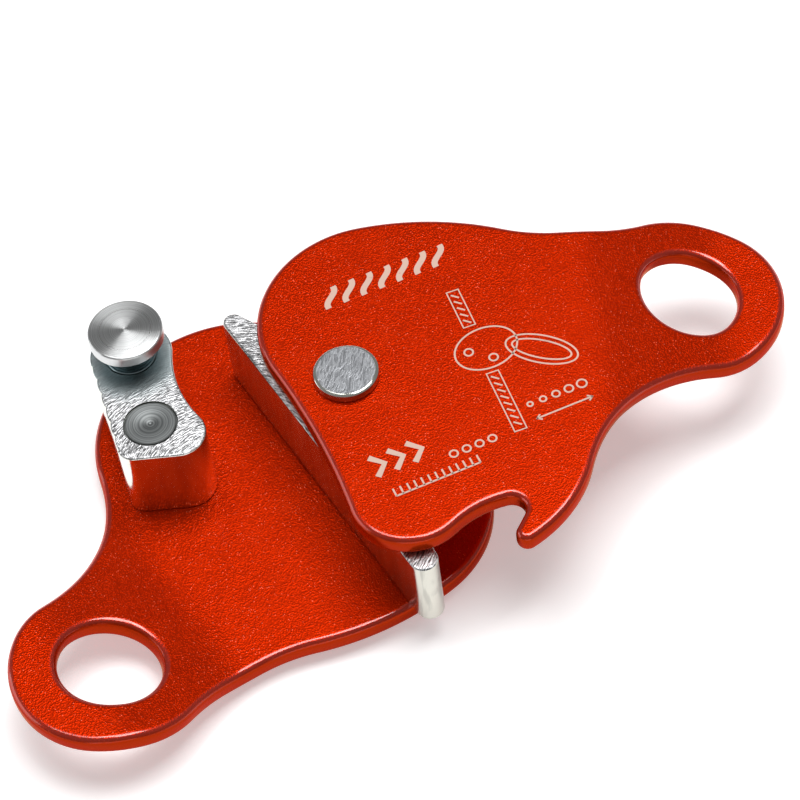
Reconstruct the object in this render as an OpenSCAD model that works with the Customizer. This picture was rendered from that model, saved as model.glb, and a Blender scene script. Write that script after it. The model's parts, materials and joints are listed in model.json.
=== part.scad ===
// Rope descender: two riveted side plates that close on a rope, a long pivoting
// shoe on one side of the rope and a fixed jaw on the other. A headed stud on the
// jaw catches the hook of the front plate, and a connector through both eyes
// keeps it shut.
//
// Frame: the pivot axis is Z. The back plate lies along +X towards its eye, and
// z = 0 is the plane of the rivet heads on its outer face. The part is drawn open.

/* [Side plates] */
// Thickness of each plate
plate_t = 4; // [3:0.5:5]
// Clear gap between the plates, which takes the rope
plate_gap = 16.6; // [13:0.1:20]
// Distance along the plate from the pivot to the eye
eye_x = 63.8; // [53:0.1:77]
// Distance across the plate from the pivot to the eye
eye_y = 15.9; // [12:0.1:19]
// Radius of the eye that takes the connector
eye_r = 9.45; // [8:0.05:11.5]
// Width of metal round the eye
eye_wall = 8.25; // [6.5:0.05:10]
// Angle that the front plate is swung open
open_angle = 149; // [100:1:180]

/* [Plate outline] */
// Radius of the rounded corner behind the pivot
shoulder_r = 22; // [18:0.5:26]
// Radius of the gently curved top edge
crown_r = 55; // [50:1:66]
// Radius of the broad lobe under the jaw
lobe_r = 27.3; // [26:0.1:32]
// Radius of the bulge in front of the hook
bulge_r = 11; // [9:0.5:11.5]
// Radius of the hollow between the crown and the eye
waist_r = 33; // [27:1:40]
// Radius of the hollow between the lobe and the eye
throat_r = 32.5; // [27:0.5:39]
// Radius of the shallow hollow in the back edge of the front plate
flank_r = 150; // [120:1:180]
// Radius of the hollow that leads from the bulge into the hook
bay_r = 18; // [14:1:24]
// Radius of the tip of the hook
hook_tip_r = 2; // [1.6:0.1:2.4]

/* [Bend of the eyes] */
// Distance from the pivot to where the plate starts to bend
bend_start = 41; // [39:0.5:44]
// Angle of the ramp that carries the eye
bend_angle = 17.5; // [14:0.5:21]
// Radius of each bend, on the middle of the plate
bend_r = 25; // [20:1:30]
// Gap between the two eyes when the plates are shut
eye_gap = 0.4; // [0.3:0.1:1.5]

/* [Rope shoe] */
// Distance from the pivot to the face that bears on the rope
shoe_face = 11; // [10:0.1:13]
// Length of the shoe from the pivot to its long end
shoe_long = 41.6; // [35:0.1:42]
// Length of the shoe from the pivot to its short end
shoe_short = 28.8; // [24:0.1:34]
// Radius of the rounded long end of the shoe
shoe_nose_r = 2.6; // [2:0.1:3]
// Radius of the rounded short end of the shoe
shoe_toe_r = 1.9; // [1.6:0.1:2.6]
// Radius of the lug round the pivot
shoe_lug_r = 9.5; // [8.5:0.1:10]
// Radius of the hollow behind each arm of the shoe
shoe_back_r = 60; // [50:1:72]
// Tilt of the shoe as it is drawn
shoe_tilt = 3; // [0:0.5:5]

/* [Jaw] */
// Distance along the plate from the pivot to the plain pin
pin_x = 32.6; // [30:0.1:34]
// Distance across the plate from the pivot to the plain pin
pin_y = 16.7; // [15:0.1:19]
// Distance along the plate from the pivot to the lock stud
stud_x = 26.9; // [25:0.1:28]
// Distance across the plate from the pivot to the lock stud
stud_y = 32.7; // [31:0.1:34]
// Radius of the bodies of the pin and the stud
pin_r = 5; // [4:0.1:5.5]
// Width of metal round the stud
jaw_stud_wall = 2.7; // [2:0.1:3.2]
// Radius of the hollow face that bears on the rope
jaw_hollow_r = 25; // [21:1:30]
// Radius of the corner next to the rope
jaw_corner_r = 5.2; // [4.4:0.1:6]
// Radius of the outer corner
jaw_heel_r = 3; // [2.5:0.1:3.6]

/* [Lock stud] */
// Radius of the neck that the hook catches
neck_r = 2.2; // [1.8:0.1:2.6]
// Radius of the head
stud_head_r = 7; // [6:0.1:8.4]
// Thickness of the head
stud_head_t = 2.5; // [2:0.1:3]
// Room between the front plate and the head
stud_head_gap = 0.5; // [0.3:0.1:1]

/* [Pivot] */
// Radius of the rivet's shank
shank_r = 4; // [3.3:0.1:4.8]
// Radius of the rivet's heads
rivet_head_r = 6; // [5.5:0.1:7.2]
// Height of every rivet head
head_h = 1.9; // [1.5:0.1:2.3]
// Wall of the sleeve that keeps the plates apart
sleeve_wall = 2; // [1.6:0.1:2.4]
// Thickness of the washer on each side of the shoe
washer_t = 0.4; // [0.3:0.1:0.6]
// Radius of the washers
washer_r = 8.6; // [7.5:0.1:9]
// Radius of the tails of the pin and the stud
tail_r = 3.5; // [3:0.1:4]
// Chamfer on every rivet head
head_chamfer = 0.5; // [0.3:0.1:0.7]

/* [Clearances] */
// Radial clearance of what turns on the pivot
running_fit = 0.05; // [0.03:0.01:0.08]
// Clearance between the hook and the neck of the stud
hook_clearance = 0.45; // [0.2:0.05:0.5]
// Clearance between the jaw and the front plate
jaw_clearance = 0.3; // [0.2:0.05:0.4]
// Clearance between the shoe and each washer
shoe_play = 0.1; // [0.05:0.05:0.3]

/* [Hidden] */
$fn = 96;
arc_step = 6;          // degrees between the points of an outline's arcs
long_arc_step = 2;     // the same on arcs of more than long_arc_r
long_arc_r = 100;
bend_steps = 6;        // straight lengths in each bend of a plate
past = 1;              // how far a drill runs past the faces that it cuts
reach = 100;           // more than any outline reaches from the pivot

// Heights of the layers, from the rivet heads at the back
back_z = head_h;
back_top = back_z + plate_t;
front_z = back_top + plate_gap;
front_top = front_z + plate_t;
block_top = front_z - jaw_clearance;
head_z = front_top + stud_head_gap;
rivet_head_z = front_top + running_fit;
front_washer_z = front_z - running_fit - washer_t;

// Places on the plates, each from the pivot
eye = [eye_x, eye_y];
pin = [pin_x, -pin_y];
stud = [stud_x, -stud_y];
eye_ring_r = eye_r + eye_wall;
notch_r = neck_r + hook_clearance;

// Round stretches of the plate outline: [centre, radius], where a negative radius is a hollow
shoulder_c = [6, 13.8];
crown_bearing = 96.5;
crown_c = shoulder_c - (crown_r - shoulder_r) * heading(crown_bearing);
lobe_c = [16.2, -16.2];
bulge_c = [9.6, -26.8];
hook_bearing = -58.5;
hook_c = lobe_c + (lobe_r - hook_tip_r) * heading(hook_bearing);
eye_ring = [eye, eye_ring_r];
crown = [crown_c, crown_r];
shoulder = [shoulder_c, shoulder_r];
lobe = [lobe_c, lobe_r];
bulge = [bulge_c, bulge_r];
waist = hollow(eye_ring, crown, waist_r);
throat = hollow(lobe, eye_ring, throat_r);
flank = hollow(shoulder, bulge, flank_r);
notch = [stud, -notch_r];
bay = hollow(bulge, notch, bay_r);
back_rim = [eye_ring, waist, crown, shoulder, lobe, throat];
front_rim = [eye_ring, waist, crown, shoulder, flank, bulge, bay, notch,
             [hook_c, hook_tip_r], lobe, throat];

// The bend takes each eye to the middle of the gap
bend_turns = [for (i = [0:bend_steps]) bend_angle * i / bend_steps];
eye_drop = (plate_gap - eye_gap) / 2;
ramp_start = bend_start + bend_r * sin(bend_angle);
ramp_rise = eye_drop - 2 * bend_r * (1 - cos(bend_angle));
ramp_end = ramp_start + ramp_rise / tan(bend_angle);
bend_end = ramp_end + bend_r * sin(bend_angle);
eye_height = bend_r * (1 - cos(bend_angle)) + (eye_x - ramp_start) * tan(bend_angle);

// Round stretches of the shoe and of the jaw
shoe_z = back_top + washer_t + shoe_play;
shoe_h = front_washer_z - shoe_play - shoe_z;
shoe_lug = [[0, 0], shoe_lug_r];
shoe_tip = [[shoe_face - shoe_nose_r, shoe_long - shoe_nose_r], shoe_nose_r];
shoe_toe = [[shoe_face - shoe_toe_r, shoe_toe_r - shoe_short], shoe_toe_r];
shoe_rim = [shoe_tip, hollow(shoe_tip, shoe_lug, shoe_back_r), shoe_lug,
            hollow(shoe_lug, shoe_toe, shoe_back_r), shoe_toe];
jaw_h = block_top - back_top;
jaw_corner = [pin + [-2.8, 4.9], jaw_corner_r];
jaw_heel = [pin + [5.2, 2.5], jaw_heel_r];
jaw_end = [stud, pin_r + jaw_stud_wall];
jaw_rim = [jaw_heel, jaw_corner, hollow(jaw_corner, jaw_end, jaw_hollow_r), jaw_end];
sleeve_r = shank_r + running_fit + sleeve_wall;
sleeve_h = front_washer_z - back_top - washer_t;

// A unit step in the direction of angle a
function heading(a) = [cos(a), sin(a)];

// Centre and radius of a hollow that touches two round stretches, on the right of the way
// from the first to the second
function hollow(from, to, r) =
    let (way = to[0] - from[0],
         dist = norm(way),
         near = from[1] + r,
         far = to[1] + r,
         along = (near * near - far * far + dist * dist) / (2 * dist),
         off = sqrt(near * near - along * along),
         u = way / dist)
    [from[0] + along * u + off * [u[1], -u[0]], -r];

// Heading of the straight run between two round stretches of a rim
function run_heading(from, to) =
    let (way = to[0] - from[0])
    atan2(way[1], way[0]) + asin(max(-1, min(1, (from[1] - to[1]) / norm(way))));

// Points of one round stretch, between the runs that enter and leave it
function stretch(before, this, after) =
    let (first = run_heading(before, this) - 90,
         turn = run_heading(this, after) - 90 - first,
         sweep = this[1] > 0 ? turn - 360 * floor(turn / 360) : turn - 360 * ceil(turn / 360),
         step = abs(this[1]) > long_arc_r ? long_arc_step : arc_step,
         steps = max(1, ceil(abs(sweep) / step)))
    [for (i = [0:steps]) this[0] + this[1] * heading(first + sweep * i / steps)];

// A closed outline that runs anticlockwise round a list of round stretches
function rim_points(rim) =
    let (n = len(rim))
    [for (i = [0:n - 1]) each stretch(rim[(i + n - 1) % n], rim[i], rim[(i + 1) % n])];

// A straight post with its lower end at z
module post(r, z, h) {
    translate([0, 0, z]) cylinder(r = r, h = h);
}

// A drill that cuts right through what lies between z and z + h
module drill(r, z, h) { post(r, z - past, h + 2 * past); }

// A round head between z and z + h, chamfered at the end that stands free
module head(r, z, h, free_end_up) {
    translate([0, 0, z])
        rotate_extrude()
            polygon(free_end_up
                ? [[0, 0], [r, 0], [r, h - head_chamfer], [r - head_chamfer, h], [0, h]]
                : [[0, 0], [r - head_chamfer, 0], [r, head_chamfer], [r, h], [0, h]]);
}

// Side view of a plate that rises towards its eye, on its middle line
function middle_line() =
    concat([[-reach, 0]],
        [for (a = bend_turns) [bend_start + bend_r * sin(a), bend_r * (1 - cos(a))]],
        [for (i = [bend_steps:-1:0]) let (a = bend_turns[i])
            [bend_end - bend_r * sin(a), eye_drop - bend_r * (1 - cos(a))]],
        [[bend_end + reach, eye_drop]]);

// Slope of the middle line at each of its points
function middle_slope() =
    concat([0], bend_turns, [for (i = [bend_steps:-1:0]) bend_turns[i]], [0]);

// A plate between z = 0 and z = plate_t that rises by eye_drop towards its eye
module bent_plate(rim) {
    line = middle_line();
    slope = middle_slope();
    last = len(line) - 1;
    half = plate_t / 2;
    difference() {
        intersection() {
            translate([0, 0, -past]) linear_extrude(plate_t + eye_drop + 2 * past)
                polygon(rim_points(rim));
            translate([0, reach, half]) rotate([90, 0, 0]) linear_extrude(2 * reach)
                polygon(concat(
                    [for (i = [0:last]) line[i] + half * [sin(slope[i]), -cos(slope[i])]],
                    [for (i = [last:-1:0]) line[i] + half * [-sin(slope[i]), cos(slope[i])]]));
        }
        translate([eye_x, eye_y, half + eye_height]) rotate([0, -bend_angle, 0])
            cylinder(r = eye_r, h = plate_t + eye_drop, center = true);
    }
}

module back_plate() {
    color("orangered")
    difference() {
        translate([0, 0, back_z]) bent_plate(back_rim);
        drill(shank_r, back_z, plate_t);
        for (place = [pin, stud]) translate(place) drill(tail_r, back_z, plate_t);
    }
}

module front_plate() {
    color("orangered")
    rotate(open_angle)
    difference() {
        translate([0, 0, front_top]) mirror([0, 0, 1]) bent_plate(front_rim);
        drill(shank_r + running_fit, front_z, plate_t);
    }
}

module rope_shoe() {
    color("gainsboro")
    rotate(-shoe_tilt)
    translate([0, 0, shoe_z])
    difference() {
        linear_extrude(shoe_h) polygon(rim_points(shoe_rim));
        drill(sleeve_r + running_fit, 0, shoe_h);
    }
}

module jaw_block() {
    color("silver")
    difference() {
        translate([0, 0, back_top]) linear_extrude(jaw_h) polygon(rim_points(jaw_rim));
        for (place = [pin, stud]) translate(place) drill(pin_r + running_fit, back_top, jaw_h);
    }
}

// The part of a pin that goes through the jaw and the back plate
module pin_body() {
    post(pin_r, back_top, jaw_h);
    post(tail_r, back_z, plate_t);
    head(pin_r, 0, head_h, false);
}

module jaw_pin() {
    color("dimgray") translate(pin) pin_body();
}

module lock_stud() {
    color("lightgray")
    translate(stud) {
        pin_body();
        post(neck_r, block_top, head_z - block_top);
        head(stud_head_r, head_z, stud_head_t, true);
    }
}

module pivot_rivet() {
    color("lightslategray") {
        head(rivet_head_r, 0, head_h, false);
        post(shank_r, head_h, rivet_head_z - head_h);
        head(rivet_head_r, rivet_head_z, head_h, true);
    }
}

module pivot_sleeve() {
    color("darkgray")
    difference() {
        post(sleeve_r, back_top + washer_t, sleeve_h);
        drill(shank_r + running_fit, back_top + washer_t, sleeve_h);
    }
}

// A washer on the shank, from z upwards
module washer(z) {
    color("gold")
    difference() {
        post(washer_r, z, washer_t);
        drill(shank_r + running_fit, z, washer_t);
    }
}

module back_washer() { washer(back_top); }

module front_washer() { washer(front_washer_z); }

back_plate();
front_plate();
rope_shoe();
jaw_block();
jaw_pin();
lock_stud();
pivot_rivet();
pivot_sleeve();
back_washer();
front_washer();
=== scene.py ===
# %% [markdown]
# # A rope descender, drawn open
# Two orange side plates turn on one rivet and close round a rope. Between them lie a long
# pivoting shoe and a fixed jaw, and a headed stud on the jaw catches the front plate's hook.
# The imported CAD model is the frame. Each of its plain pieces is replaced here by a mesh with
# the same size and place, but with rounded edges, turned faces and a real finish.

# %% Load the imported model
import json
from math import asin, atan2, ceil, cos, pi, radians, sin, sqrt, tan, tau
import bmesh
import bpy
import numpy as np
from mathutils import Matrix, Vector
from mathutils.geometry import delaunay_2d_cdt
from mathutils.kdtree import KDTree


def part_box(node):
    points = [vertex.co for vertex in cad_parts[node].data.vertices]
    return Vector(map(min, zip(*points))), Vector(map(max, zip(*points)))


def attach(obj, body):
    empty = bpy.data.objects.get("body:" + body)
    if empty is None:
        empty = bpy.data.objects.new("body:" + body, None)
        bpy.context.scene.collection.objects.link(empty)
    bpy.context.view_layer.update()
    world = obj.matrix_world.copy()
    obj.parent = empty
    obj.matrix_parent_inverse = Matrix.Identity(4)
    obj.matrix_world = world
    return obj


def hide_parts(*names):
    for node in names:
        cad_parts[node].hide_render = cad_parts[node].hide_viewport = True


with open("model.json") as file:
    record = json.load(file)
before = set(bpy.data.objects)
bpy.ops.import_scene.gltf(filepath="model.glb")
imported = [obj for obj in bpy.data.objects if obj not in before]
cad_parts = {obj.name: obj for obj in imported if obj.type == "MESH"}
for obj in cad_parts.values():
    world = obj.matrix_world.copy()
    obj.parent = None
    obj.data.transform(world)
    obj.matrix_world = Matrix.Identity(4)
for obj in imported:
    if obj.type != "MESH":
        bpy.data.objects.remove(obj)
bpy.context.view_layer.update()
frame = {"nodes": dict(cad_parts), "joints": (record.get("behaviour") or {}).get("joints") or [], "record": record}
print("CAD nodes:", sorted(frame["nodes"]))

# %% [markdown]
# ## What the frame tells
# The levels of the layers and the places of the pins aren't typed in again. They are read
# from the boxes of the CAD nodes and from the record's mounts, in millimetres, because that
# is how such a small object is drawn. Each mesh is scaled to metres when it is finished.

# %% Read levels and places
MM = 0.001


def box_mm(node):
    """Lowest and highest corner of a CAD node in millimetres."""
    return [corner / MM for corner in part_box(node)]


def middle(node):
    """Where the axis of a round CAD node meets the plane of the plates."""
    low, high = box_mm(node)
    return ((low + high) / 2).xy


mounts = {mount["name"]: mount for mount in frame["record"]["mounts"]}
hinge = next(joint for joint in frame["joints"] if joint["name"] == "plate_hinge")
open_angle = radians(-hinge["range_deg"][0])
eye = Vector(mounts["back_eye"]["pos_m"]).xy / MM
eye_r = mounts["back_eye"]["dims"]["r_mm"]
bend_angle = asin(-mounts["back_eye"]["axis"][0])
plate_t = mounts["back_eye"]["dims"]["length_mm"]
back_z = box_mm("back_plate")[0].z
back_top = back_z + plate_t
front_top = box_mm("front_plate")[1].z
front_z = front_top - plate_t
block_top = box_mm("jaw_block")[1].z
pin = middle("jaw_pin")
stud = middle("lock_stud")
print("plates from", round(back_z, 2), "to", round(front_top, 2), "eye at", tuple(eye))

# %% [markdown]
# ## The camera
# A long lens from high above one corner of the open part keeps the two eyes nearly equal
# in size. The camera is placed by the direction that it looks from, its distance and a
# small roll, so each can be changed by itself.

# %% Make the camera
view_azimuth, view_elevation, view_roll = radians(151.9), radians(52.29), radians(-8.386)
view_distance = 602.1
view_target = Vector((-9.11, 1.88, 14.0))


def make_camera():
    """A camera that looks at view_target from the view's own direction."""
    lens = bpy.data.cameras.new("camera")
    lens.lens, lens.sensor_width = 146.8, 36
    lens.clip_start, lens.clip_end = 0.05, 20
    camera = bpy.data.objects.new("camera", lens)
    bpy.context.scene.collection.objects.link(camera)
    away = Vector((sin(view_azimuth) * cos(view_elevation),
                   -cos(view_azimuth) * cos(view_elevation), sin(view_elevation)))
    turn = (-away).to_track_quat("-Z", "Y").to_matrix() @ Matrix.Rotation(view_roll, 3, "Z")
    place = (view_target + away * view_distance) * MM
    camera.matrix_world = Matrix.Translation(place) @ turn.to_4x4()
    bpy.context.scene.camera = camera
    return camera


camera = make_camera()
print("camera at", tuple(round(c, 3) for c in camera.location))

# %% [markdown]
# ## Floor and light
# The floor is a plain pale light table under the rivet heads, which glows a little so that
# shadows stay soft. Anodised and turned metal show their lights as reflections, so the
# lights are placed by what mirrors them. Two softboxes high overhead, right and left, run
# along the rounded edges as white lines and fan out on the stud's turned head, but they
# stay out of the flat faces, which mirror the dim far side and keep their deep colour. Two
# low cards give the upright sides something to reflect. One big lamp by the camera would
# be simpler, but it would wash out the colour of every flat face.

# %% Make the floor and the lights
floor_drop, floor_size, floor_glow = 0.0002, 6.0, 0.35


def make_floor():
    """A plain pale floor just below the rivet heads."""
    mesh = bpy.data.meshes.new("floor")
    half = floor_size / 2
    corners = [(-half, -half), (half, -half), (half, half), (-half, half)]
    mesh.from_pydata([(x, y, -floor_drop) for x, y in corners], [], [(0, 1, 2, 3)])
    floor = bpy.data.objects.new("floor", mesh)
    bpy.context.scene.collection.objects.link(floor)
    pale = bpy.data.materials.new("pale_floor")
    pale.use_nodes = True
    shader = pale.node_tree.nodes["Principled BSDF"]
    shader.inputs["Base Color"].default_value = (0.9, 0.9, 0.9, 1)
    shader.inputs["Roughness"].default_value = 0.9
    shader.inputs["Specular IOR Level"].default_value = 0.1
    shader.inputs["Emission Color"].default_value = (1, 1, 1, 1)
    shader.inputs["Emission Strength"].default_value = floor_glow
    mesh.materials.append(pale)
    return floor


def softbox(name, azimuth, elevation, distance, width, height, glow):
    """An area light that faces the object. Glow is how bright its face looks, with white at 1."""
    lamp = bpy.data.lights.new(name, "AREA")
    lamp.shape, lamp.size, lamp.size_y = "RECTANGLE", width, height
    lamp.energy = glow * pi * width * height
    light = bpy.data.objects.new(name, lamp)
    bpy.context.scene.collection.objects.link(light)
    a, e = radians(azimuth), radians(elevation)
    away = Vector((sin(a) * cos(e), -cos(a) * cos(e), sin(e)))
    light.location = view_target * MM + away * distance
    light.rotation_euler = (-away).to_track_quat("-Z", "Y").to_euler()
    return light


make_floor()
softbox("overhead_right", azimuth=279, elevation=75, distance=1.2, width=0.7, height=0.7, glow=7.0)
softbox("overhead_left", azimuth=25, elevation=75, distance=1.2, width=0.5, height=0.5, glow=4.6)
softbox("left_card", azimuth=55, elevation=14, distance=0.9, width=0.7, height=0.5, glow=1.3)
softbox("near_card", azimuth=150, elevation=6, distance=0.9, width=0.9, height=0.16, glow=2.0)
room_glow = 0.2
world = bpy.data.worlds.new("studio")
world.use_nodes = True
world.node_tree.nodes["Background"].inputs["Color"].default_value = (1, 1, 1, 1)
world.node_tree.nodes["Background"].inputs["Strength"].default_value = room_glow
bpy.context.scene.world = world
bpy.context.scene.view_settings.view_transform = "Standard"

# %% [markdown]
# ## Outlines made of round stretches
# The plates, the shoe and the jaw are cut along smooth outlines: arcs joined by straight
# runs, like a belt round pulleys. A stretch is a centre and a radius, and a negative radius
# is a hollow. Because an inset only takes the same amount off every radius, one list draws
# the outline and every ring of its rounded edge.

# %% Helpers for outlines
arc_step = radians(5)
point_step = 1.2
same_place = 0.01
print("arcs step by at most", point_step, "mm")


def heading(angle):
    """A unit step in the plane, in the direction of an angle."""
    return Vector((cos(angle), sin(angle)))


def run_heading(start, end):
    """Direction of the straight run between two round stretches."""
    way = end[0] - start[0]
    lean = (start[1] - end[1]) / way.length
    return atan2(way.y, way.x) + asin(max(-1.0, min(1.0, lean)))


def hollow(start, end, r):
    """The hollow of radius r that touches two round stretches, right of the way between."""
    way = end[0] - start[0]
    near, far = start[1] + r, end[1] + r
    ahead = (near * near - far * far + way.length_squared) / (2 * way.length)
    off = sqrt(near * near - ahead * ahead)
    u = way.normalized()
    return (start[0] + ahead * u + off * Vector((u.y, -u.x)), -r)


def rim_line(rim, inset):
    """Points of a closed outline, anticlockwise, moved inwards by inset."""
    points = []
    for i, this in enumerate(rim):
        after = rim[(i + 1) % len(rim)]
        first = run_heading(rim[i - 1], this) - pi / 2
        last = run_heading(this, after) - pi / 2
        change = last - first
        sweep = change % tau if this[1] > 0 else -(-change % tau)
        steps = max(2, ceil(abs(sweep) / arc_step), ceil(abs(sweep * this[1]) / point_step))
        turns = [first + sweep * k / steps for k in range(steps + 1)]
        arc = [this[0] + (this[1] - inset) * heading(turn) for turn in turns]
        goal = after[0] + (after[1] - inset) * heading(last)
        run = goal - arc[-1]
        if run.length < same_place:
            points += arc[:-1]
            continue
        pieces = ceil(run.length / point_step)
        points += arc + [arc[-1] + run * k / pieces for k in range(1, pieces)]
    return points


# %% The outlines of the plates
eye_wall, shoulder_r, crown_r, lobe_r, bulge_r = 8.25, 22, 55, 27.3, 11
waist_r, throat_r, flank_r, bay_r, hook_tip_r = 33, 32.5, 150, 18, 2
neck_r, hook_clearance = 2.2, 0.45
crown_bearing, hook_bearing = radians(96.5), radians(-58.5)
eye_ring = (eye, eye_r + eye_wall)
shoulder = (Vector((6, 13.8)), shoulder_r)
crown = (shoulder[0] - (crown_r - shoulder_r) * heading(crown_bearing), crown_r)
lobe = (Vector((16.2, -16.2)), lobe_r)
bulge = (Vector((9.6, -26.8)), bulge_r)
hook_tip = (lobe[0] + (lobe_r - hook_tip_r) * heading(hook_bearing), hook_tip_r)
notch = (stud, -(neck_r + hook_clearance))
waist = hollow(eye_ring, crown, waist_r)
throat = hollow(lobe, eye_ring, throat_r)
flank = hollow(shoulder, bulge, flank_r)
bay = hollow(bulge, notch, bay_r)
back_rim = [eye_ring, waist, crown, shoulder, lobe, throat]
front_rim = [eye_ring, waist, crown, shoulder, flank, bulge, bay, notch, hook_tip, lobe, throat]
print("outline points:", len(rim_line(back_rim, 0)), "back,", len(rim_line(front_rim, 0)), "front")

# %% [markdown]
# ## Slabs with rounded edges
# A plate, the shoe and the jaw are all slabs: a wall that rises through a profile of rings,
# and two flat skins. The skins are filled with an even grid of small triangles, so that a
# plate can be bent afterwards without creases. Bevel modifiers were not used, because they
# pinch where an outline's hollow is tighter than the rounding.

# %% Walls
edge_steps = 6
edge_margin = 0.3


def edge_profile(height, edge_r):
    """(inset, height, edge) up a side whose two edges are rounded; edge is 1 on the side."""
    quarter = [k * pi / 2 / edge_steps for k in range(edge_steps + 1)]
    low = [(edge_r * (1 - sin(a)), edge_r * (1 - cos(a)), sin(a)) for a in quarter]
    high = [(inset, height - rise, edge) for inset, rise, edge in reversed(low)]
    return [(edge_r + edge_margin, 0, 0)] + low + high + [(edge_r + edge_margin, height, 0)]


def add_wall(shape, line_at, profile):
    """Adds a wall of quads, one ring for each step of a profile, and returns its end rings."""
    rings = []
    for inset, z, edge in profile:
        line = line_at(inset)
        rings.append(list(range(len(shape["points"]), len(shape["points"]) + len(line))))
        shape["points"] += [(p.x, p.y, z) for p in line]
        shape["edge"] += [edge] * len(line)
    for low, high in zip(rings, rings[1:]):
        for i in range(len(low)):
            j = (i + 1) % len(low)
            shape["faces"].append((low[i], low[j], high[j], high[i]))
    return rings[0], rings[-1]


print("a rounded edge has", edge_steps, "steps")

# %% [markdown]
# The two flat skins of a slab could be one many-sided face each, but such a face can't bend
# and shades badly. A grid of points inside the outline, joined to the outline's own points
# by a triangulation that keeps every edge of it, gives small even triangles with no gaps.

# %% Skins
skin_step = 2.0
border_space = 0.6 * skin_step


def inside(points, ring):
    """Which points lie inside a closed line, by counting crossings."""
    x, y = points[:, 0, None], points[:, 1, None]
    ax, ay = ring[:, 0], ring[:, 1]
    bx, by = np.roll(ax, -1), np.roll(ay, -1)
    level = np.where(by == ay, 1e-9, by - ay)
    crosses = ((ay > y) != (by > y)) & (x < (bx - ax) * (y - ay) / level + ax)
    return crosses.sum(1) % 2 == 1


def skin_grid(low, high):
    """Points of an even triangular grid over a box."""
    row_step = skin_step * sqrt(3) / 2
    grid = []
    for row in range(ceil((high[1] - low[1]) / row_step)):
        shift = skin_step / 2 if row % 2 else 0
        columns = range(ceil((high[0] - low[0]) / skin_step))
        grid += [(low[0] + shift + k * skin_step, low[1] + row * row_step) for k in columns]
    return np.array(grid)


def add_skin(shape, rings):
    """Fills the area inside the first ring and outside the others with small triangles."""
    order = [i for ring in rings for i in ring]
    border = np.array([shape["points"][i] for i in order])
    flat = [np.array([shape["points"][i][:2] for i in ring]) for ring in rings]
    tree = KDTree(len(border))
    for i, p in enumerate(border):
        tree.insert((p[0], p[1], 0), i)
    tree.balance()

    def on_skin(points):
        found = inside(points, flat[0])
        for bore in flat[1:]:
            found &= ~inside(points, bore)
        return found

    grid = skin_grid(flat[0].min(0), flat[0].max(0))
    grid = [p for p in grid[on_skin(grid)] if tree.find((p[0], p[1], 0))[2] > border_space]
    edges, start = [], 0
    for ring in rings:
        edges += [(start + i, start + (i + 1) % len(ring)) for i in range(len(ring))]
        start += len(ring)
    flat_points = [Vector(p[:2]) for p in border] + [Vector(p) for p in grid]
    made, _, faces, sources, _, _ = delaunay_2d_cdt(flat_points, edges, [], 0, 1e-6)
    place = {}
    for i, source in enumerate(sources):
        known = [k for k in source if k < len(order)]
        if known:
            place[i] = order[known[0]]
        else:
            place[i] = len(shape["points"])
            shape["points"].append((made[i].x, made[i].y, border[0][2]))
            shape["edge"].append(0)
    centres = np.array([sum((made[i] for i in face), Vector((0, 0))) / len(face) for face in faces])
    keep = on_skin(centres)
    shape["faces"] += [tuple(place[i] for i in face) for face, good in zip(faces, keep) if good]


print("skins are filled with points", skin_step, "mm apart")


# %% Slabs
fewest_bore_points = 24


def slab(line_at, height, edge_r, bores=()):
    """A slab with rounded edges. Each bore is (centre, radius along x, radius along y, rounding)."""
    shape = {"points": [], "faces": [], "edge": []}
    ends = [add_wall(shape, line_at, edge_profile(height, edge_r))]
    for centre, rx, ry, rounding in bores:
        count = max(fewest_bore_points, ceil(1.5 * tau * ry / point_step))

        def bore_line(inset, centre=centre, rx=rx, ry=ry, count=count):
            turns = [tau * k / count for k in range(count)]
            return [centre + Vector(((rx + inset) * cos(a), (ry + inset) * sin(a))) for a in turns]

        ends.append(add_wall(shape, bore_line, edge_profile(height, rounding)))
    for side in (0, 1):
        add_skin(shape, [end[side] for end in ends])
    return shape


print("a bore has at least", fewest_bore_points, "points")


# %% [markdown]
# ## From points to a finished piece
# A finished piece is a mesh in metres whose object stays at the origin. Its faces are made
# to point outwards, it is shaded smoothly, and only edges sharper than a set angle stay
# crisp. The plates also carry an attribute, edge, that tells the coat where its rims are.

# %% Finish a piece
crisp_angle = 35


def finish_piece(name, shape, materials, body, node, crisp=crisp_angle, pick=None):
    mesh = bpy.data.meshes.new(name)
    mesh.from_pydata([tuple(c * MM for c in p) for p in shape["points"]], [], shape["faces"])
    bm = bmesh.new()
    bm.from_mesh(mesh)
    bmesh.ops.recalc_face_normals(bm, faces=bm.faces)
    bm.to_mesh(mesh)
    open_edges = sum(1 for e in bm.edges if len(e.link_faces) != 2)
    bm.free()
    if "edge" in shape:
        mesh.attributes.new("edge", "FLOAT", "POINT").data.foreach_set("value", shape["edge"])
    for material in materials:
        mesh.materials.append(material)
    if pick:
        for face in mesh.polygons:
            face.material_index = pick(face.center / MM, face.normal)
    mesh.shade_smooth()
    mesh.set_sharp_from_angle(angle=radians(crisp))
    piece = bpy.data.objects.new(name, mesh)
    bpy.context.scene.collection.objects.link(piece)
    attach(piece, body)
    if node:
        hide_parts(node)
    print(name, len(mesh.vertices), "points,", len(mesh.polygons), "faces,", open_edges, "open edges")
    return piece


print("edges stay crisp above", crisp_angle, "degrees")


# %% [markdown]
# ## Shared effects
# Four effects make up the finishes: the pebbled skin left by tumbling, rings left by a
# lathe, lines left by a saw or a brush, and light wear. Each is a small shader group that
# puts out heights or masks, and the materials set their own sizes for it. A group is built
# once and placed where it is needed, so that a change to it reaches every finish.

# %% Helpers for node trees
VECTOR, NUMBER = "NodeSocketVector", "NodeSocketFloat"


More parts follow.
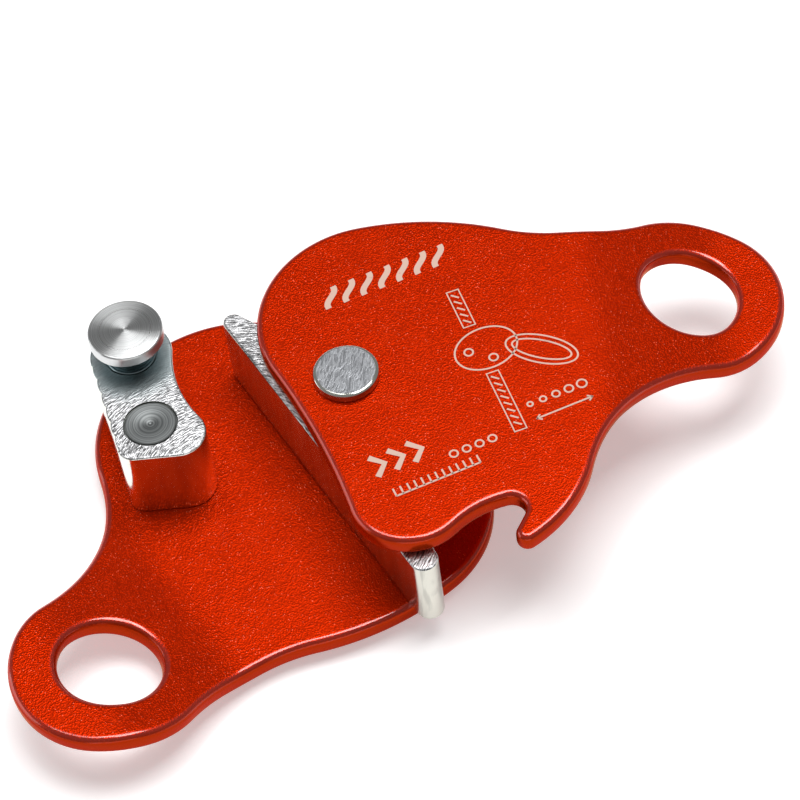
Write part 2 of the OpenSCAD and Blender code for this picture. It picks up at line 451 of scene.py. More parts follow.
def add_node(tree, kind, **values):
    """Adds a node. A key that names an input sets it, and any other key is a property."""
    node = tree.nodes.new(kind)
    for key, value in values.items():
        name = key.replace("_", " ")
        if hasattr(node, key):
            setattr(node, key, value)
        else:
            node.inputs[name].default_value = value
    return node


def join(tree, source, target):
    """Links an output to an input; a bare node stands for its first socket."""
    source = source if isinstance(source, bpy.types.NodeSocket) else source.outputs[0]
    target = target if isinstance(target, bpy.types.NodeSocket) else target.inputs[0]
    tree.links.new(source, target)


def calc(tree, operation, a, b=None, c=None):
    """A Math node whose inputs are numbers or sockets, and its output."""
    node = tree.nodes.new("ShaderNodeMath")
    node.operation = operation
    for socket, value in zip(node.inputs, (a, b, c)):
        if isinstance(value, (int, float)):
            socket.default_value = value
        elif value is not None:
            join(tree, value, socket)
    return node.outputs[0]


def ramp(tree, value, low, high):
    """A mask that goes from 0 at low to 1 at high."""
    node = add_node(tree, "ShaderNodeMapRange", interpolation_type="SMOOTHSTEP")
    join(tree, value, node.inputs["Value"])
    node.inputs["From Min"].default_value = low
    node.inputs["From Max"].default_value = high
    return node.outputs["Result"]


# %% Helpers for positions and groups
def vector_calc(tree, operation, vector, by=None):
    """A Vector Math node on a vector, with a fixed second vector where one is given."""
    node = tree.nodes.new("ShaderNodeVectorMath")
    node.operation = operation
    join(tree, vector, node.inputs[0])
    if by is not None:
        node.inputs[1].default_value = by
    return node


def from_z_axis(tree, place):
    """Distance of a position from the Z axis."""
    flat = vector_calc(tree, "MULTIPLY", place, (1, 1, 0))
    return vector_calc(tree, "LENGTH", flat).outputs["Value"]


def new_group(name, inputs, outputs):
    """An empty shader group with named sockets, and its two end nodes."""
    tree = bpy.data.node_groups.new(name, "ShaderNodeTree")
    for socket, kind in inputs:
        tree.interface.new_socket(socket, in_out="INPUT", socket_type=kind)
    for socket in outputs:
        tree.interface.new_socket(socket, in_out="OUTPUT", socket_type="NodeSocketFloat")
    return tree, tree.nodes.new("NodeGroupInput"), tree.nodes.new("NodeGroupOutput")


def in_steps(tree, vector, size):
    """A position divided by a size, so that one unit is one grain or one line."""
    node = vector_calc(tree, "SCALE", vector)
    join(tree, calc(tree, "DIVIDE", 1.0, size), node.inputs["Scale"])
    return node.outputs[0]


print("helpers for node trees are ready")

# %% [markdown]
# ### Pebbled skin
# Tumbling in stones leaves the plates covered in small domes. A Voronoi texture gives each
# dome its own cell, and a cell's colour decides whether that dome is one of the few whose
# top gets a painted glint, a highlight painted into the colour. Wide noise makes the dye a
# little uneven, as it is on real plates.

# %% Pebbled skin
def pebble_group():
    """Small domes side by side, as tumbled and anodised metal has, and a few dome tops with a painted glint."""
    tree, start, end = new_group("Pebbled skin", [("Position", VECTOR), ("Grain", NUMBER)],
                                 ["Height", "Specks", "Mottle"])
    spot = in_steps(tree, start.outputs["Position"], start.outputs["Grain"])
    cells = add_node(tree, "ShaderNodeTexVoronoi", feature="F1", Scale=1.0)
    fine = add_node(tree, "ShaderNodeTexNoise", Scale=2.2, Detail=2.0, Roughness=0.5)
    wide = add_node(tree, "ShaderNodeTexNoise", Scale=0.07, Detail=3.0)
    for texture in (cells, fine, wide):
        join(tree, spot, texture.inputs["Vector"])
    dome = calc(tree, "SUBTRACT", 1.0, ramp(tree, cells.outputs["Distance"], 0.05, 0.75))
    height = calc(tree, "MULTIPLY_ADD", fine.outputs[0], 0.2, dome)
    join(tree, height, end.inputs["Height"])
    chance = tree.nodes.new("ShaderNodeSeparateColor")
    join(tree, cells.outputs["Color"], chance)
    # The few cells picked here get a painted highlight on their dome tops.
    bright = ramp(tree, chance.outputs["Red"], 0.86, 0.97)
    join(tree, calc(tree, "MULTIPLY", bright, ramp(tree, dome, 0.45, 0.9)), end.inputs["Specks"])
    join(tree, wide.outputs[0], end.inputs["Mottle"])
    return tree


pebbled_skin = pebble_group()
print(pebbled_skin.name, "made")


# %% [markdown]
# ### Lathe rings
# A lathe's tool leaves fine rings that differ in depth from one to the next. Noise along
# the distance from the axis gives such rings, where a Wave texture would make them all alike.

# %% Lathe rings
def ring_group():
    """Fine rings round the Z axis, uneven from ring to ring."""
    tree, start, end = new_group("Lathe rings", [("Position", VECTOR), ("Pitch", NUMBER)],
                                 ["Height", "Bands"])
    turns = calc(tree, "DIVIDE", from_z_axis(tree, start.outputs["Position"]), start.outputs["Pitch"])
    rings = add_node(tree, "ShaderNodeTexNoise", noise_dimensions="1D", Scale=1.0, Detail=2.0)
    bands = add_node(tree, "ShaderNodeTexNoise", noise_dimensions="1D", Scale=0.13, Detail=1.0)
    for texture in (rings, bands):
        join(tree, turns, texture.inputs["W"])
    join(tree, rings, end.inputs["Height"])
    join(tree, bands, end.inputs["Bands"])
    return tree


lathe_rings = ring_group()
print(lathe_rings.name, "made")


# %% [markdown]
# ### Saw and brush lines
# A round saw leaves short broken scars along arcs, and a brush leaves long fine ones along
# nearly straight lines. Both are noise stretched along a circle: a near centre makes the
# arcs of a saw, and a far one the lines of a brush.

# %% Saw and brush lines
def line_group():
    """Broken lines along arcs round the Z axis, a pitch apart, as a round saw leaves them."""
    sockets = [("Position", VECTOR), ("Pitch", NUMBER), ("Length", NUMBER), ("Wander", NUMBER)]
    tree, start, end = new_group("Tool lines", sockets, ["Height", "Bands"])
    parts = tree.nodes.new("ShaderNodeSeparateXYZ")
    join(tree, start.outputs["Position"], parts)
    radius = from_z_axis(tree, start.outputs["Position"])
    turn = calc(tree, "ARCTAN2", parts.outputs["Y"], parts.outputs["X"])
    drift = add_node(tree, "ShaderNodeTexNoise", Scale=0.12, Detail=2.0)
    join(tree, in_steps(tree, start.outputs["Position"], start.outputs["Pitch"]), drift.inputs["Vector"])
    swing = calc(tree, "MULTIPLY", calc(tree, "SUBTRACT", drift.outputs[0], 0.5), start.outputs["Wander"])
    place = tree.nodes.new("ShaderNodeCombineXYZ")
    across = calc(tree, "DIVIDE", radius, start.outputs["Pitch"])
    join(tree, calc(tree, "ADD", across, swing), place.inputs["X"])
    arc = calc(tree, "MULTIPLY", turn, radius)
    join(tree, calc(tree, "DIVIDE", arc, start.outputs["Length"]), place.inputs["Y"])
    join(tree, calc(tree, "DIVIDE", parts.outputs["Z"], start.outputs["Length"]), place.inputs["Z"])
    lines = add_node(tree, "ShaderNodeTexNoise", Scale=1.0, Detail=2.0, Roughness=0.5)
    bands = add_node(tree, "ShaderNodeTexNoise", Scale=0.25, Detail=1.0)
    for texture in (lines, bands):
        join(tree, place, texture.inputs["Vector"])
    join(tree, lines, end.inputs["Height"])
    join(tree, bands, end.inputs["Bands"])
    return tree


tool_lines = line_group()
print(tool_lines.name, "made")


# %% [markdown]
# ### Light wear
# Handling rubs small uneven spots into every finish. One patchy noise, cut off so that most
# of the surface stays clean, is enough for an object that looks new.

# %% Light wear
def wear_group():
    """A mask of small rubbed spots."""
    tree, start, end = new_group("Light wear", [("Position", VECTOR), ("Size", NUMBER)], ["Rubbed"])
    spot = in_steps(tree, start.outputs["Position"], start.outputs["Size"])
    rubbed = add_node(tree, "ShaderNodeTexNoise", Scale=0.5, Detail=5.0, Roughness=0.7)
    join(tree, spot, rubbed.inputs["Vector"])
    join(tree, ramp(tree, rubbed.outputs[0], 0.56, 0.75), end.inputs["Rubbed"])
    return tree


light_wear = wear_group()
print(light_wear.name, "made")

# %% [markdown]
# ## The finishes
# The plates are dyed orange-red metal under a clear skin, so their flat faces stay deeply
# coloured while their rims catch white light. Everything between them is bare metal, and
# differs only in how it was cut: turned, sawn or polished.

# %% Helpers for finishes
def new_material(name, base, metallic, roughness):
    """A material with a Principled shader and its constants, and its useful parts."""
    material = bpy.data.materials.new(name)
    material.use_nodes = True
    tree = material.node_tree
    shader = tree.nodes["Principled BSDF"]
    shader.inputs["Base Color"].default_value = (*base, 1)
    shader.inputs["Metallic"].default_value = metallic
    shader.inputs["Roughness"].default_value = roughness
    place = tree.nodes.new("ShaderNodeTexCoord").outputs["Object"]
    return material, tree, shader, place


def use_group(tree, group, place, **sizes):
    """Puts a shared effect into a material."""
    node = tree.nodes.new("ShaderNodeGroup")
    node.node_tree = group
    join(tree, place, node.inputs["Position"])
    for key, value in sizes.items():
        node.inputs[key].default_value = value
    return node


def moved(tree, place, centre):
    """A position measured from a centre in millimetres, by a Mapping node."""
    node = tree.nodes.new("ShaderNodeMapping")
    node.vector_type = "TEXTURE"
    node.inputs["Location"].default_value = (centre[0] * MM, centre[1] * MM, 0)
    join(tree, place, node.inputs["Vector"])
    return node.outputs[0]


def shade(colour, by):
    """A colour made lighter or darker, and kept within what metal can reflect."""
    return tuple(min(1, part * by) for part in colour)


MIX_LOW, MIX_HIGH, MIX_RESULT = 6, 7, 2


def blend_colours(tree, mask, low, high):
    """A colour that is low where a mask is 0 and high where it is 1, by a Mix node's colour sockets."""
    node = tree.nodes.new("ShaderNodeMix")
    node.data_type = "RGBA"
    for socket, value in ((node.inputs[MIX_LOW], low), (node.inputs[MIX_HIGH], high)):
        if isinstance(value, bpy.types.NodeSocket):
            join(tree, value, socket)
        else:
            socket.default_value = (*value, 1)
    join(tree, mask, node.inputs["Factor"])
    return node.outputs[MIX_RESULT]


def add_bump(tree, shader, height, depth):
    """A Bump node on the shader, whose height is in metres of depth."""
    node = add_node(tree, "ShaderNodeBump", Strength=1.0, Distance=depth)
    join(tree, height, node.inputs["Height"])
    join(tree, node, shader.inputs["Normal"])


print("helpers for finishes are ready")

# %% [markdown]
# ### The coat of the plates
# The flat faces are pebbled and nearly without gloss, while the tumbled rims are smooth and
# glossy. One material does both: the attribute edge, which is 1 on a plate's side and 0 on
# its faces, fades the pebbles out and lets the clear coat in where the edge is round. The
# tint keeps what the sides mirror at a low angle golden, where plain metal would turn white.

# %% The coat of the plates
# The side colour is a little darker and more golden than the faces: painted shade and a painted golden reflection.
deep_orange, pale_orange, painted_side_orange = (0.40, 0.014, 0.0004), (0.50, 0.020, 0.0008), (0.37, 0.022, 0.0004)
# The glint colour is a painted highlight on a few pebble tops.
painted_glint_orange, painted_glint_share = (1.0, 0.20, 0.11), 0.5
rubbed_orange, rubbed_share = (0.75, 0.08, 0.02), 0.08
face_roughness, rim_roughness, rubbed_roughness = 0.36, 0.24, 0.05
face_coat, round_coat = 0.015, 0.8
pebble_size, pebble_depth, rim_pebbles = 0.00035, 0.00005, 0.04
coat_constants = {"Specular IOR Level": 0.05, "Specular Tint": (1.0, 0.45, 0.12, 1),
                  "Coat Roughness": 0.1, "Coat IOR": 1.8}


def plate_finish():
    """Orange-red anodised metal: pebbled on its faces, smooth and glossy on its rims."""
    material, tree, shader, place = new_material("orange_anodised", deep_orange, 0.65, face_roughness)
    for socket, value in coat_constants.items():
        shader.inputs[socket].default_value = value
    skin = use_group(tree, pebbled_skin, place, Grain=pebble_size)
    rubbed = use_group(tree, light_wear, place, Size=0.004).outputs["Rubbed"]
    rim = add_node(tree, "ShaderNodeAttribute", attribute_name="edge").outputs["Fac"]
    face = calc(tree, "SUBTRACT", 1.0, rim)

    dye = blend_colours(tree, skin.outputs["Mottle"], deep_orange, pale_orange)
    # Painted shade and painted reflection: the sides turn a little darker and more golden.
    dye = blend_colours(tree, ramp(tree, rim, 0.55, 1.0), dye, painted_side_orange)
    # Painted highlight: a few pebble tops are painted in the pale glint colour.
    painted_glint = calc(tree, "MULTIPLY", skin.outputs["Specks"], calc(tree, "MULTIPLY", face, painted_glint_share))
    dye = blend_colours(tree, painted_glint, dye, painted_glint_orange)
    dye = blend_colours(tree, calc(tree, "MULTIPLY", rubbed, rubbed_share), dye, rubbed_orange)
    join(tree, dye, shader.inputs["Base Color"])

    rough = calc(tree, "MULTIPLY_ADD", rim, rim_roughness - face_roughness, face_roughness)
    join(tree, calc(tree, "MULTIPLY_ADD", rubbed, rubbed_roughness, rough), shader.inputs["Roughness"])
    before_side = calc(tree, "SUBTRACT", 1.0, ramp(tree, rim, 0.6, 0.95))
    round_part = calc(tree, "MULTIPLY", ramp(tree, rim, 0.05, 0.3), before_side)
    join(tree, calc(tree, "MULTIPLY_ADD", round_part, round_coat, face_coat), shader.inputs["Coat Weight"])
    pebbled = calc(tree, "MULTIPLY_ADD", face, 1 - rim_pebbles, rim_pebbles)
    add_bump(tree, shader, calc(tree, "MULTIPLY", skin.outputs["Height"], pebbled), pebble_depth)
    return material


orange_coat = plate_finish()
print(orange_coat.name, "made")

# %% [markdown]
# ### Turned metal
# On a turned face the rings stretch every reflection across themselves, so light fans out
# from the centre. Anisotropic gloss does that by itself, once the shader's tangent points
# away from the axis. Real grooves deep enough to do it would need millions of faces.

# %% Turned metal
# The ridge tone is a painted highlight on the rings' ridges.
band_roughness, groove_low, groove_high, ridge_painted_light = 0.16, 0.38, 0.62, 1.12
spot_size, spot_shade, spot_share = 0.0015, 0.7, 0.35


def turned_finish(name, centre, base, roughness, pitch, depth, anisotropy, groove_painted_shade):
    """A face cut on a lathe: rings round its own axis, painted darker in their grooves and lighter on their
    ridges, and a sheen that fans out from it.
    """
    material, tree, shader, place = new_material(name, base, 1.0, roughness)
    shader.inputs["Anisotropic"].default_value = anisotropy
    from_axis = moved(tree, place, centre)
    join(tree, from_axis, shader.inputs["Tangent"])
    rings = use_group(tree, lathe_rings, from_axis, Pitch=pitch)
    rubbed = use_group(tree, light_wear, place, Size=spot_size).outputs["Rubbed"]
    # Painted shade and painted highlight: the rings are darker in their grooves and lighter on their ridges.
    painted_ring_light = ramp(tree, rings.outputs["Height"], groove_low, groove_high)
    tone = blend_colours(tree, painted_ring_light, shade(base, 1 - groove_painted_shade), shade(base, ridge_painted_light))
    tone = blend_colours(tree, calc(tree, "MULTIPLY", rubbed, spot_share), tone, shade(base, spot_shade))
    join(tree, tone, shader.inputs["Base Color"])
    rough = calc(tree, "MULTIPLY_ADD", rings.outputs["Bands"], band_roughness, roughness - band_roughness / 2)
    join(tree, rough, shader.inputs["Roughness"])
    add_bump(tree, shader, rings.outputs["Height"], depth)
    return material


pin_metal = turned_finish("turned_pin_steel", pin, (0.20, 0.21, 0.21), roughness=0.5,
                          pitch=0.0004, depth=0.00001, anisotropy=0.3, groove_painted_shade=0.38)
stud_metal = turned_finish("turned_stud_steel", stud, (0.60, 0.61, 0.61), roughness=0.3,
                           pitch=0.00018, depth=0.000003, anisotropy=0.85, groove_painted_shade=0.14)
# Under the stud's head the steel is a darker teal copy: painted shade and a painted reflection of the head's dark
# underside.
shaded_root_metal = turned_finish("stud_root_steel", stud, (0.30, 0.38, 0.40), roughness=0.3,
                           pitch=0.0003, depth=0.00001, anisotropy=0.2, groove_painted_shade=0.4)
brass_metal = turned_finish("washer_brass", (0, 0), (0.72, 0.5, 0.2), roughness=0.3,
                            pitch=0.0004, depth=0.00001, anisotropy=0.3, groove_painted_shade=0.2)
print("turned metals:", [m.name for m in (pin_metal, stud_metal, shaded_root_metal, brass_metal)])

# %% [markdown]
# ### Sawn, drawn and polished metal
# The shoe and the jaw are cut from bar, so their ends carry a saw's coarse scars and their
# sides only the fine lines of drawing or polishing. Scars and lines are a bump, and their
# dark colour is painted shade in their grooves. One recipe makes all of them, and a rubbed
# rivet head too, with other sizes. Round the stud the jaw's sawn end was faced smooth, so
# its scars fade out there, and the teal-grey patch there is a painted reflection of the
# stud's dark head.

# %% Sawn, drawn and polished metal
# The scar tone is painted shade in the grooves of the scars and lines.
line_roughness, scar_low, scar_high, scar_painted_shade = 0.12, 0.40, 0.54, 0.25
patch_size, patch_dark, patch_pale, patch_pull = 0.003, 0.75, 1.15, -0.4
smooth_reflection_near, smooth_reflection_far, smooth_reflection_share, smooth_reflection_border = 0.0075, 0.0125, 0.2, 0.003
# The teal-grey tone round the stud is a painted reflection of the stud's dark head.
painted_reflection_tone = (0.36, 0.43, 0.44)


def scars_beyond_reflection_mask(tree, place, smooth_reflection_centre, rubbed):
    """A mask that is low near the centre of a smooth patch with a painted reflection, and 1 away from it, with an
    uneven border.
    """
    reach = from_z_axis(tree, moved(tree, place, smooth_reflection_centre))
    patchy = calc(tree, "MULTIPLY_ADD", rubbed, smooth_reflection_border, reach)
    return calc(tree, "MULTIPLY_ADD", ramp(tree, patchy, smooth_reflection_near, smooth_reflection_far), 1 - smooth_reflection_share, smooth_reflection_share)


def cut_finish(name, base, roughness, centre, pitch, length, wander, depth, scars, smooth_reflection_centre=None):
    """Metal cut or rubbed along arcs round a centre: scars darkened with painted shade, patches of other tones,
    and, where a smooth centre is given, a painted reflection round it.
    """
    material, tree, shader, place = new_material(name, base, 1.0, roughness)
    from_centre = moved(tree, place, centre)
    lines = use_group(tree, tool_lines, from_centre, Pitch=pitch, Length=length, Wander=wander)
    rubbed = use_group(tree, light_wear, place, Size=patch_size).outputs["Rubbed"]
    height, bands = lines.outputs["Height"], lines.outputs["Bands"]
    shaded_scar = calc(tree, "SUBTRACT", 1.0, ramp(tree, height, scar_low, scar_high))
    patches = calc(tree, "MULTIPLY_ADD", rubbed, patch_pull, bands)
    tone = blend_colours(tree, patches, shade(base, patch_dark), shade(base, patch_pale))
    if smooth_reflection_centre:
        scarred_beyond_reflection = scars_beyond_reflection_mask(tree, place, smooth_reflection_centre, rubbed)
        shaded_scar = calc(tree, "MULTIPLY", shaded_scar, scarred_beyond_reflection)
        height = calc(tree, "MULTIPLY", height, scarred_beyond_reflection)
        # Painted reflection: round the stud the colour turns to the teal-grey of the stud head's dark reflection.
        tone = blend_colours(tree, scarred_beyond_reflection, painted_reflection_tone, tone)
    # Painted shade: the scars and lines are darkened in their grooves.
    tone = blend_colours(tree, calc(tree, "MULTIPLY", shaded_scar, scars), tone, shade(base, scar_painted_shade))
    join(tree, tone, shader.inputs["Base Color"])
    rough = calc(tree, "MULTIPLY_ADD", bands, line_roughness, roughness - line_roughness / 2)
    join(tree, rough, shader.inputs["Roughness"])
    add_bump(tree, shader, height, depth)
    return material


saw_centre, far_centre = (27.8, 3.3), (0, -400)
sawn_metal = cut_finish("sawn_alloy", (0.62, 0.62, 0.63), 0.36, saw_centre, pitch=0.00026,
                        length=0.0014, wander=1.2, depth=0.0002, scars=0.95, smooth_reflection_centre=stud)
polished_metal = cut_finish("polished_alloy", (0.88, 0.90, 0.80), 0.14, far_centre, pitch=0.0012,
                            length=0.02, wander=1.0, depth=0.00001, scars=0.1)
drawn_metal = cut_finish("drawn_alloy", (0.66, 0.65, 0.58), 0.2, far_centre, pitch=0.0008,
                         length=0.01, wander=1.0, depth=0.00001, scars=0.3)
rivet_metal = cut_finish("satin_rivet_steel", (0.39, 0.40, 0.42), 0.38, (40, -60), pitch=0.0003,
                         length=0.0009, wander=6.0, depth=0.00006, scars=0.5)
print("cut metals:", [m.name for m in (sawn_metal, polished_metal, drawn_metal, rivet_metal)])

# %% [markdown]
# ## The side plates
# Each plate is stamped flat, tumbled until its edges are round, and bent twice so that its
# eye meets the other eye in the middle. The mesh is made the same way: a flat slab first,
# then a bend. The bend lifts the slab's middle layer and doesn't move it sideways, so from
# above the outline stays as it was drawn. The eye's bore is drawn as the narrower oval that
# a round bore shows from above when it leans.

# %% Bend a plate
bend_start, bend_r, eye_gap = 41.0, 25.0, 0.4
plate_gap = front_z - back_top
eye_drop = (plate_gap - eye_gap) / 2
bend_rise = bend_r * (1 - cos(bend_angle))
ramp_start = bend_start + bend_r * sin(bend_angle)
ramp_end = ramp_start + (eye_drop - 2 * bend_rise) / tan(bend_angle)
bend_end = ramp_end + bend_r * sin(bend_angle)
print("an eye drops", round(eye_drop, 2), "mm between x =", bend_start, "and", round(bend_end, 1))


def middle_line(x):
    """Height and slope of a bent plate's middle line at a distance from the pivot."""
    if x <= bend_start:
        return 0.0, 0.0
    if x < ramp_start:
        turn = asin((x - bend_start) / bend_r)
        return bend_r * (1 - cos(turn)), turn
    if x <= ramp_end:
        return bend_rise + (x - ramp_start) * tan(bend_angle), bend_angle
    if x < bend_end:
        turn = asin((bend_end - x) / bend_r)
        return eye_drop - bend_r * (1 - cos(turn)), turn
    return eye_drop, 0.0


def bent(shape):
    """Lifts the eye of a flat slab along the middle line."""
    points = []
    for x, y, z in shape["points"]:
        rise, slope = middle_line(x)
        off = z - plate_t / 2
        points.append((x - off * sin(slope), y, rise + plate_t / 2 + off * cos(slope)))
    return dict(shape, points=points)


# %% Make the back plate
plate_edge_r, bore_edge = 1.3, 0.25
shank_r, tail_r, running_fit = 4.0, 3.5, 0.05
origin = Vector((0, 0))


def round_bore(centre, r, edge=bore_edge):
    """A round bore for a slab."""
    return (centre, r, r, edge)


def plate_shape(rim, bores):
    """A bent plate whose outer face is at z = 0 and whose eye rises."""
    eye_bore = (eye, eye_r * cos(bend_angle), eye_r, plate_edge_r)
    return bent(slab(lambda inset: rim_line(rim, inset), plate_t, plate_edge_r, [eye_bore, *bores]))


back_bores = [round_bore(origin, shank_r), round_bore(pin, tail_r), round_bore(stud, tail_r)]
back_shape = plate_shape(back_rim, back_bores)
back_shape["points"] = [(x, y, z + back_z) for x, y, z in back_shape["points"]]
finish_piece("back_side_plate", back_shape, [orange_coat], "frame", "back_plate")

# %% [markdown]
# The front plate lies the other way up, so that its eye drops, and it is drawn swung open
# by as much as the frame's hinge says. It could be drawn shut and turned as an object, but a
# finished piece has its place in its mesh.

# %% Make the front plate
front_shape = plate_shape(front_rim, [round_bore(origin, shank_r + running_fit)])
swing = Matrix.Rotation(open_angle, 2)
front_shape["points"] = [(*(swing @ Vector((x, y))), front_top - z) for x, y, z in front_shape["points"]]
finish_piece("front_side_plate", front_shape, [orange_coat], "front_plate", "front_plate")

# %% [markdown]
# ## The etched signs
# A laser has bared the metal of the front plate in thin pale strokes. They say nothing here:
# a rope's lay, a rope through a plain body with a link, a row of rope sizes and a small
# scale stand for them. A sign is drawn as a few lines, and Geometry Nodes repeat the lines
# along a row and give them their width and a hair of height, as one tree for all of them.

# %% The stroke tree
def stroke_tree():
    """Copies the lines of a mesh along a row and sweeps a flat bar along each."""
    tree = bpy.data.node_groups.new("Etched strokes", "GeometryNodeTree")
    sockets = (("Geometry", "NodeSocketGeometry"), ("Copies", "NodeSocketInt"), ("Start", VECTOR),
               ("Step", VECTOR), ("Growth", NUMBER), ("Stroke width", NUMBER), ("Stroke height", NUMBER),
               ("Material", "NodeSocketMaterial"))
    for name, kind in sockets:
        tree.interface.new_socket(name, in_out="INPUT", socket_type=kind)
    tree.interface.new_socket("Geometry", in_out="OUTPUT", socket_type="NodeSocketGeometry")
    start, end = tree.nodes.new("NodeGroupInput"), tree.nodes.new("NodeGroupOutput")
    lines = tree.nodes.new("GeometryNodeMeshToCurve")
    row = add_node(tree, "GeometryNodeMeshLine", mode="OFFSET", count_mode="TOTAL")
    copies = tree.nodes.new("GeometryNodeInstanceOnPoints")
    number = tree.nodes.new("GeometryNodeInputIndex")
    flat = tree.nodes.new("GeometryNodeRealizeInstances")
    upright = add_node(tree, "GeometryNodeSetCurveNormal", mode="Z_UP")
    bar = tree.nodes.new("GeometryNodeCurvePrimitiveQuadrilateral")
    sweep = add_node(tree, "GeometryNodeCurveToMesh", Fill_Caps=True)
    real = tree.nodes.new("GeometryNodeRealizeInstances")
    paint = tree.nodes.new("GeometryNodeSetMaterial")
    join(tree, start.outputs["Geometry"], lines.inputs["Mesh"])
    join(tree, start.outputs["Copies"], row.inputs["Count"])
    join(tree, start.outputs["Start"], row.inputs["Start Location"])
    join(tree, start.outputs["Step"], row.inputs["Offset"])
    join(tree, row, copies.inputs["Points"])
    join(tree, lines, copies.inputs["Instance"])
    scale = calc(tree, "MULTIPLY_ADD", number.outputs[0], start.outputs["Growth"], 1.0)
    join(tree, scale, copies.inputs["Scale"])
    join(tree, copies, flat)
    join(tree, flat, upright.inputs["Curve"])
    join(tree, start.outputs["Stroke width"], bar.inputs["Width"])
    join(tree, start.outputs["Stroke height"], bar.inputs["Height"])
    join(tree, upright, sweep.inputs["Curve"])
    join(tree, bar, sweep.inputs["Profile Curve"])
    join(tree, sweep, real)
    join(tree, real, paint.inputs["Geometry"])
    join(tree, start.outputs["Material"], paint.inputs["Material"])
    join(tree, paint, end.inputs["Geometry"])
    return tree


etched_strokes = stroke_tree()
print(etched_strokes.name, "has", len(etched_strokes.nodes), "nodes")


# %% [markdown]
# ### The bared metal
# Where the laser has been, the dye is gone and a dull pale skin is left, with some colour
# still in its pits. It scatters light evenly, so it is made as a dull plain colour and not
# as a metal, which would turn dark wherever it mirrors the dim side of the room.

# %% The bared metal
bared_pale, bared_stained = (0.66, 0.45, 0.36), (0.54, 0.30, 0.21)


def bared_finish():
    """Etched metal: pale, dull and a little blotchy."""
    material, tree, shader, place = new_material("etched_metal", bared_pale, 0.0, 0.5)
    rubbed = use_group(tree, light_wear, place, Size=0.0006).outputs["Rubbed"]
    join(tree, blend_colours(tree, rubbed, bared_pale, bared_stained), shader.inputs["Base Color"])
    join(tree, calc(tree, "MULTIPLY_ADD", rubbed, 0.2, 0.5), shader.inputs["Roughness"])
    return material


bared_metal = bared_finish()
print(bared_metal.name, "made")

# %% Draw one sign
sign_turn = radians(19.5)
stroke_height = 0.06
signs = []
print("signs stand", stroke_height / 2, "mm proud of the plate and sink as deep into it")


def along(angle, length, across=0.0):
    """A step in the plane: so far in a direction, and so far to its left."""
    return length * heading(angle) + across * heading(angle + pi / 2)


def draw_sign(lines, closed, width, copies=1, start=(0, 0), step=(0, 0), growth=0.0):
    """Makes the strokes of a few lines, in millimetres on the front plate, and keeps their mesh."""
    points, edges = [], []
    for line in lines:
        first = len(points)
        points += [(p[0] * MM, p[1] * MM, 0) for p in line]
        edges += [(first + i, first + i + 1) for i in range(len(line) - 1)]
        if closed:
            edges.append((first + len(line) - 1, first))
    mesh = bpy.data.meshes.new("sign_lines")
    mesh.from_pydata(points, edges, [])
    host = bpy.data.objects.new("sign_lines", mesh)
    bpy.context.scene.collection.objects.link(host)
    strokes = host.modifiers.new("Etched strokes", "NODES")
    strokes.node_group = etched_strokes
    values = {"Copies": copies, "Growth": growth, "Material": bared_metal,
              "Start": (start[0] * MM, start[1] * MM, 0), "Step": (step[0] * MM, step[1] * MM, 0),
              "Stroke width": width * MM, "Stroke height": stroke_height * MM}
    for item in etched_strokes.interface.items_tree:
        if item.item_type == "SOCKET" and item.in_out == "INPUT" and item.name in values:
            strokes[item.identifier] = values[item.name]
    solved = host.evaluated_get(bpy.context.evaluated_depsgraph_get())
    signs.append(bpy.data.meshes.new_from_object(solved))
    bpy.data.objects.remove(host)


def oval(centre, long_r, short_r, turn, steps=48):
    """Points of an oval."""
    turns = [tau * k / steps for k in range(steps)]
    return [centre + along(turn, long_r * cos(a), short_r * sin(a)) for a in turns]


# %% Draw the lay of a rope
thick, thin = 1.15, 0.34
sign_pitch = along(sign_turn, 3.6)
sign_half, lay_lean, lay_swing, lay_steps = 2.3, 1.3, 0.5, 12
lay = []
for k in range(lay_steps + 1):
    rise = k / lay_steps
    aside = lay_lean * (2 * rise - 1) + lay_swing * sin(tau * (rise - 0.5))
    lay.append(along(sign_turn, aside, sign_half * (2 * rise - 1)))
draw_sign([lay], False, thick, copies=7, start=(-1.9, 18.9), step=sign_pitch)
print("the lay has", len(lay), "points in each of its strokes")

# %% Draw the rope, the body and the link
rope_turn = radians(-73.7)
rope_top, rope_wide, tick_pitch = Vector((20.5, 17.3)), 2.3, 1.6
for begin, length in ((0.0, 9.0), (20.6, 14.2)):
    corners = [along(rope_turn, begin, -rope_wide / 2), along(rope_turn, begin + length, -rope_wide / 2),
               along(rope_turn, begin + length, rope_wide / 2), along(rope_turn, begin, rope_wide / 2)]
    draw_sign([[rope_top + corner for corner in corners]], True, thin)
    tick = [along(rope_turn, -0.55, -0.6), along(rope_turn, 0.55, 0.6)]
    draw_sign([tick], False, thin, copies=int(length / tick_pitch),
              start=rope_top + along(rope_turn, begin + 1.4), step=along(rope_turn, tick_pitch))
body = Vector((25.6, 3.2))
draw_sign([oval(body, 6.0, 4.6, radians(25)), oval(body + Vector((-3.2, -0.6)), 0.8, 0.8, 0),
           oval(body + Vector((1.2, -2.3)), 0.8, 0.8, 0)], True, thin)
link = Vector((35.6, 1.6))
link_turn = radians(-22)
draw_sign([oval(link, 6.8, 3.1, link_turn), oval(link, 5.6, 2.0, link_turn)], True, thin)
print("the rope runs", rope_wide, "mm wide through the body")

